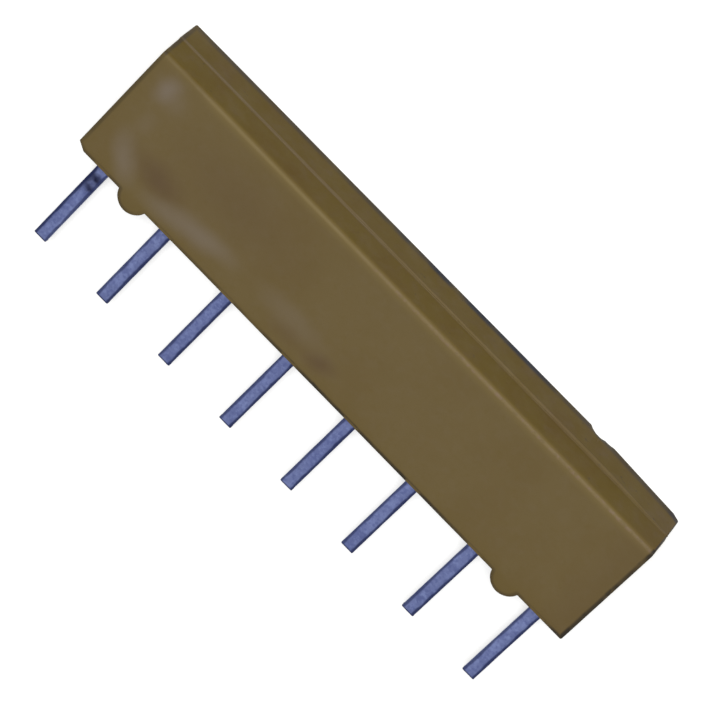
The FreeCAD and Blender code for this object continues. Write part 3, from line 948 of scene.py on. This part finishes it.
def lead_sheet(leads):
    """Flat middle surface of a stamped lead, with its prongs bent; the underside is at y = 0."""
    half_clip = leads.clip_width / 2
    half_stem = leads.width / 2
    half_middle = leads.middle_prong_width / 2
    slit_end = half_middle + leads.prong_slit
    bend_start = leads.clip_cover + leads.shoulder_height
    sheet = add_primitive(bpy.ops.mesh.primitive_plane_add, "lead_sheet",
                          (0, (leads.clip_cover + bend_start) / 2, 0),
                          (leads.clip_width, leads.shoulder_height, 1), size=1)
    substrate_low, substrate_high = node_box("ceramic_substrate")
    pad_high = node_box("pad_2")[1]
    plane_z = (substrate_low.z + substrate_high.z) / 2
    half_strip = leads.thickness / 2
    back_offset = substrate_low.z - plane_z - half_strip
    front_offset = pad_high.z - plane_z + half_strip
    steepest = math.atan2(front_offset, leads.bend_length)
    seat = half_strip * math.tan(steepest / 2) + leads.grip_length
    with editing(sheet):
        for x in (half_middle, slit_end, half_stem):
            for side in (-x, x):
                bpy.ops.mesh.select_all(action="SELECT")
                bpy.ops.mesh.bisect(plane_co=(side, 0, 0), plane_no=(1, 0, 0), threshold=CUT_NEAR)
        select(sheet, "edges", lambda e: max(v.co.y for v in e.verts) < leads.clip_cover + NEAR
               and abs(middle_of(e).x) < half_stem)
        bpy.ops.mesh.extrude_region_move(
            TRANSFORM_OT_translate={"value": (0, -leads.clip_cover - leads.reach, 0)})
        for low, high, offset in ((-half_middle, half_middle, back_offset),
                                  (slit_end, half_clip, front_offset),
                                  (-half_clip, -slit_end, front_offset)):
            select(sheet, "edges", lambda e: all(abs(v.co.y - bend_start) < NEAR for v in e.verts)
                   and low < middle_of(e).x < high)
            flare = (0, leads.flare_length, math.copysign(leads.flare_rise, offset))
            for step in ((0, leads.bend_length, offset), (0, seat, 0), flare):
                bpy.ops.mesh.extrude_region_move(TRANSFORM_OT_translate={"value": step})
    return sheet


def whole_lead(leads):
    """One stamped and solder-dipped lead at the middle of the row, with z = 0 in its plane."""
    lead = lead_sheet(leads)
    half_stem = leads.width / 2
    modify(lead, "SOLIDIFY", thickness=leads.thickness, offset=0, use_even_offset=True)
    clean(lead)
    with editing(lead):
        select(lead, "edges", lambda e: share_along(e, 2) > 0.9
               and abs(middle_of(e).y - leads.clip_cover) < ROUGHLY_NEAR
               and abs(abs(middle_of(e).x) - half_stem) < ROUGHLY_NEAR)
        bpy.ops.mesh.bevel(offset=leads.shoulder_radius, segments=4, clamp_overlap=False)
        select(lead, "edges", lambda e: share_along(e, 2) > 0.9
               and middle_of(e).y < ROUGHLY_NEAR - leads.reach)
        bpy.ops.mesh.bevel(offset=leads.tip_chamfer, segments=1, clamp_overlap=False)
    modify(lead, "BEVEL", width=leads.edge_radius, segments=3, limit_method="ANGLE",
           angle_limit=math.radians(25), use_clamp_overlap=False)
    slice_up(lead, 1, STEM_SLICE / 2 - leads.reach, leads.clip_cover, STEM_SLICE)
    slice_up(lead, 0, -half_stem * 0.6, half_stem, half_stem * 0.3)
    return lead


def lead_patches(tree, vector, places, root, tint):
    """Layers of one colour, each a soft patch placed from a lead's root."""
    first_x, pitch = lead_row()
    return [(patch(tree, vector, first_x + index * pitch + aside, root - down, *size), strength, tint)
            for index, aside, down, size, strength in places]


def edge_shade_masks(tree, position, leads):
    """Masks of the painted shade along a lead's edges: a dark line and a wider shade beside it. The line is
    thicker, and the shade lies, on the edge that faces the last lead, and on the first lead on the other
    edge."""
    beside = beside_lead(tree, position)
    first = zone(tree, position, 0.1, X=(None, lead_row()[0] + leads.width))
    right_side = zone(tree, beside, leads.width / 2, X=(leads.width / 4, None))
    difference = add_node(tree, "Math", {0: right_side, 1: first}, operation="SUBTRACT")["Value"]
    thick_side = add_node(tree, "Math", {0: difference}, operation="ABSOLUTE")["Value"]
    aside = add_node(tree, "Math", {0: beside}, operation="ABSOLUTE")["Value"]
    wavy = add_node(tree, "TexNoise", {"Vector": position, "Scale": 1 / 0.6, "Detail": 2})
    film = add_node(tree, "MapRange", {
        "Value": wavy["Fac"], "From Min": 0.3, "From Max": 0.7, "To Min": -0.3 * leads.dark_line,
        "To Max": 0.5 * leads.dark_line})
    from_middle = add_node(tree, "Math", {0: aside, 1: film["Result"]}, operation="ADD")["Value"]
    line = zone(tree, from_middle, leads.dark_line, X=(leads.width / 2 - 0.7 * leads.dark_line, None))
    share = add_node(tree, "MapRange", {"Value": thick_side, "To Min": 0.75})["Result"]
    shade = zone(tree, from_middle, 3.2 * leads.dark_line, X=(leads.width / 2, None))
    return combined(tree, "MULTIPLY", line, share), combined(tree, "MULTIPLY", thick_side, shade)


def cut_tips(tree, position, leads):
    """Mask of the cut tips, which lie on a bow along the row."""
    first_x, pitch = lead_row()
    axes = add_node(tree, "SeparateXYZ", {"Vector": position})
    turn = add_node(tree, "MapRange", {
        "Value": axes["X"], "From Min": first_x, "From Max": first_x + (len(LEADS) - 1) * pitch,
        "To Max": math.pi})["Result"]
    swing = add_node(tree, "Math", {0: turn}, operation="SINE")["Value"]
    tip = add_node(tree, "Math", {0: swing, 1: leads.trim_bow, 2: node_box(LEADS[0])[0].y},
                   operation="MULTIPLY_ADD")["Value"]
    above_tip = add_node(tree, "Math", {0: axes["Y"], 1: tip}, operation="SUBTRACT")["Value"]
    return zone(tree, above_tip, 0.05, X=(None, 0.03))


def tinned_copper(settings, leads):
    """Copper alloy strip with a dull solder coat from dipping. It gives the eye a bluish grey metal in soft
    mottled patches, with painted shade along the edges and at the cut tip."""
    material, tree = new_material("copper_alloy_solder_dipped")
    position, normal = coordinates(tree)
    root = node_box(LEADS[0])[0].y + leads.reach
    # Painted shade: a dark line along each lead's edges and at its cut tip, with a wider shade beside the
    # line.
    line, shade = edge_shade_masks(tree, position, leads)
    dark = combined(tree, "MAXIMUM", line, cut_tips(tree, position, leads))
    turned = add_node(tree, "VectorMath", {"Vector": normal}, operation="ABSOLUTE")["Vector"]
    flat = zone(tree, turned, 0.3, Z=(0.4, None))
    spotted = stirred(tree, position, 0.15, 0.2)
    tint = layered(
        tree, settings.tin,
        (blotches(tree, position, 0.7, 0.42, 0.66, seed=11), 0.6, settings.tin_dark),
        (blotches(tree, position, 0.45, 0.45, 0.68, seed=12), 0.6, settings.tin_pale),
        (blotches(tree, position, 0.09, 0.46, 0.66, seed=13), 0.5, settings.tin_pale),
        (blotches(tree, position, 0.11, 0.46, 0.66, seed=14), 0.6, settings.tin_dark),
        (shade, 0.25, settings.shaded),
        *lead_patches(tree, spotted, FLECKS, root, settings.tin_pale),
        *lead_patches(tree, spotted, BURNT, root, settings.flux),
        (dark, 0.4, settings.shaded),
        (combined(tree, "MINIMUM", dark, flat), 0.75, settings.shaded))
    surface(tree, position, grain=0.12, depth=0.006, rough=0.55, smooth=0.38, patchiness=0.3,
            Base_Color=tint, Metallic=1)
    return material


class NETWORK_OT_leads(bpy.types.Operator):
    """Models the eight leads, each with the clip that holds the substrate"""
    bl_idname = "network.leads"
    bl_label = "Tinned Leads"

    def execute(self, context):
        leads = millimetres(context.scene.network_leads)
        material = tinned_copper(context.scene.network_leads, leads)
        master = whole_lead(leads)
        substrate_low, substrate_high = node_box("ceramic_substrate")
        plane_z = (substrate_low.z + substrate_high.z) / 2
        for index, name in enumerate(LEADS):
            low, high = node_box(name)
            lead = bpy.data.objects.new(name, master.data.copy())
            context.collection.objects.link(lead)
            short = leads.trim_bow * math.sin(math.pi * index / (len(LEADS) - 1))
            with editing(lead):
                select(lead, "verts", lambda v: v.co.y < STEM_SLICE - leads.reach)
                bpy.ops.transform.translate(value=(0, short, 0))
            lead.location = ((low.x + high.x) / 2, low.y + leads.reach, plane_z)
            activate(lead)
            bpy.ops.object.transform_apply(location=True, rotation=True, scale=True)
            ripple(lead, name + "_coat", leads.coat_wave_size, leads.coat_unevenness)
            finish_piece(lead, "tinned_" + name, material, name)
        bpy.data.objects.remove(master)
        return {"FINISHED"}


# Sealed pieces

def fired(name, base, cloud, size, grain, depth, rough, smooth, **sockets):
    """Material of a printed, sintered or reflowed piece: one colour with clouds of a second one."""
    material, tree = new_material(name)
    position, _ = coordinates(tree)
    tint = layered(tree, base, (blotches(tree, position, size, 0.4, 0.65), 0.8, cloud))
    surface(tree, position, grain=grain, depth=depth, rough=rough, smooth=smooth, patchiness=3 * size,
            Base_Color=tint, **sockets)
    return material


class NETWORK_OT_inside(bpy.types.Operator):
    """Gives the sealed pieces inside the body their materials"""
    bl_idname = "network.inside"
    bl_label = "Sealed Pieces"

    def execute(self, context):
        inside = context.scene.network_inside
        materials = {
            # Pressed and sintered powder: chalk white with a fine even grain.
            "ceramic_substrate": fired("alumina_sintered", inside.alumina, inside.alumina_dark,
                                       size=0.3, grain=0.02, depth=0.002, rough=0.6, smooth=0.45),
            # Printed paste: dull silvery metal that still shows the screen's weave.
            "conductor": fired("silver_palladium_screen_printed", inside.conductor, inside.conductor_dark,
                               size=0.25, grain=0.06, depth=0.003, rough=0.5, smooth=0.3, Metallic=1),
            # Printed oxide and glass paste: nearly black, slightly glossy.
            "resistor_film": fired("ruthenium_oxide_screen_printed", inside.resistor, inside.resistor_pale,
                                   size=0.2, grain=0.06, depth=0.003, rough=0.4, smooth=0.25),
            # Fired glass print: smooth, glossy and green.
            "glass_overglaze": fired("glass_enamel_fired", inside.glaze, inside.glaze_pale,
                                     size=0.5, grain=0.2, depth=0.002, rough=0.2, smooth=0.08,
                                     Coat_Weight=0.4),
            # Melted and frozen solder: bright grey metal with a coarse grain.
            "solder_joint": fired("tin_solder_reflowed", inside.solder, inside.solder_dark,
                                  size=0.12, grain=0.08, depth=0.004, rough=0.35, smooth=0.2, Metallic=1),
        }
        kinds = {"bus_conductor": "conductor", "pad": "conductor"}
        for name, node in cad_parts.items():
            if name == "housing" or name in LEADS:
                continue
            kind = name.rstrip("0123456789").rstrip("_")
            for slot in node.material_slots:
                slot.material = materials[kinds.get(kind, kind)]
        return {"FINISHED"}


# Stage

def seen_directly(tree):
    """1 for what is seen straight on, in a reflection or through glass, and 0 for what only lights."""
    path = add_node(tree, "LightPath")
    return combined(tree, "MAXIMUM", path["Is Camera Ray"], path["Is Glossy Ray"],
                    path["Is Transmission Ray"])


class NETWORK_OT_stage(bpy.types.Operator):
    """Sets up the floor, the soft lamp, the white background and the camera"""
    bl_idname = "network.stage"
    bl_label = "Stage"

    def execute(self, context):
        stage = context.scene.network_stage
        first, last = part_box(LEADS[0]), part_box(LEADS[-1])
        target = Vector(((first[0].x + last[1].x) / 2 - stage.target_aside, first[0].y + stage.target_above,
                         (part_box("housing")[0].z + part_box("housing")[1].z) / 2))
        self.floor(stage)
        self.lamp(context, stage, target)
        self.camera(context, stage, target)
        self.surroundings(context, stage)
        context.scene.view_settings.view_transform = "Standard"
        return {"FINISHED"}

    def floor(self, stage):
        """Sheet of white paper that the part lies on, level with the part's lowest point."""
        floor = add_primitive(bpy.ops.mesh.primitive_plane_add, "floor", (0, 0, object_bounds()[0].z),
                              size=stage.floor_size)
        material, tree = new_material("paper_uncoated_white")
        lift = combined(tree, "MULTIPLY", seen_directly(tree), stage.floor_lift)
        paper = add_node(tree, "BsdfPrincipled", {
            "Base Color": stage.floor, "Roughness": 0.9, "Specular IOR Level": 0.1,
            "Emission Color": (1, 1, 1, 1), "Emission Strength": lift})
        add_node(tree, "OutputMaterial", {"Surface": paper["BSDF"]})
        floor.data.materials.append(material)
        floor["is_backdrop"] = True

    def lamp(self, context, stage, target):
        """Large round soft lamp on the side of the body's upper side."""
        light = bpy.data.lights.new("soft_lamp", "AREA")
        light.shape = "DISK"
        light.size = stage.lamp_size
        # A disk lamp of power P lights a white surface that faces it to P / (pi * distance) ** 2.
        light.energy = stage.lamp_level * (math.pi * stage.lamp_distance) ** 2
        lamp = bpy.data.objects.new("soft_lamp", light)
        context.collection.objects.link(lamp)
        direction = Vector((0, math.cos(stage.lamp_height), math.sin(stage.lamp_height)))
        lamp.location = target + direction * stage.lamp_distance
        lamp.rotation_euler = direction.to_track_quat("Z", "Y").to_euler()

    def camera(self, context, stage, target):
        """Long lens that looks down at the front face and the upper side."""
        turn = Matrix.Rotation(stage.turn_z, 3, "Z") @ Matrix.Rotation(stage.tilt_y, 3, "Y") @ \
            Matrix.Rotation(stage.tilt_x, 3, "X")
        view = bpy.data.cameras.new("camera")
        view.lens = stage.focal_length
        view.sensor_width = 36
        view.clip_start = 0.01
        view.clip_end = 10
        camera = bpy.data.objects.new("camera", view)
        context.collection.objects.link(camera)
        camera.rotation_euler = turn.to_euler("XYZ")
        camera.location = target + turn @ Vector((0, 0, stage.distance))
        context.scene.camera = camera

    def surroundings(self, context, stage):
        """White background that lights the object only faintly."""
        world = bpy.data.worlds.new("studio")
        context.scene.world = world
        world.use_nodes = True
        tree = world.node_tree
        tree.nodes.clear()
        dim = add_node(tree, "Background", {"Color": (1, 1, 1, 1), "Strength": stage.fill_level})
        white = add_node(tree, "Background", {"Color": (1, 1, 1, 1), "Strength": 1})
        both = add_node(tree, "MixShader", {
            0: seen_directly(tree), 1: dim["Background"], 2: white["Background"]})
        add_node(tree, "OutputWorld", {"Surface": both["Shader"]})


class NETWORK_PT_panel(bpy.types.Panel):
    """Lists the pieces that can be modelled"""
    bl_idname = "NETWORK_PT_panel"
    bl_label = "Resistor Network"
    bl_space_type = "VIEW_3D"
    bl_region_type = "UI"
    bl_category = "Resistor Network"

    def draw(self, context):
        for operator in OPERATORS:
            self.layout.operator(operator.bl_idname)


OPERATORS = (NETWORK_OT_body, NETWORK_OT_leads, NETWORK_OT_inside, NETWORK_OT_stage)
CLASSES = (*SETTINGS.values(), *OPERATORS, NETWORK_PT_panel)


def register():
    for cls in CLASSES:
        bpy.utils.register_class(cls)
    for name, group in SETTINGS.items():
        setattr(bpy.types.Scene, name, PointerProperty(type=group))


def unregister():
    for name in SETTINGS:
        delattr(bpy.types.Scene, name)
    for cls in reversed(CLASSES):
        bpy.utils.unregister_class(cls)


def main():
    register()
    bpy.ops.network.body()
    bpy.ops.network.leads()
    bpy.ops.network.inside()
    bpy.ops.network.stage()


if __name__ == "__main__":
    main()
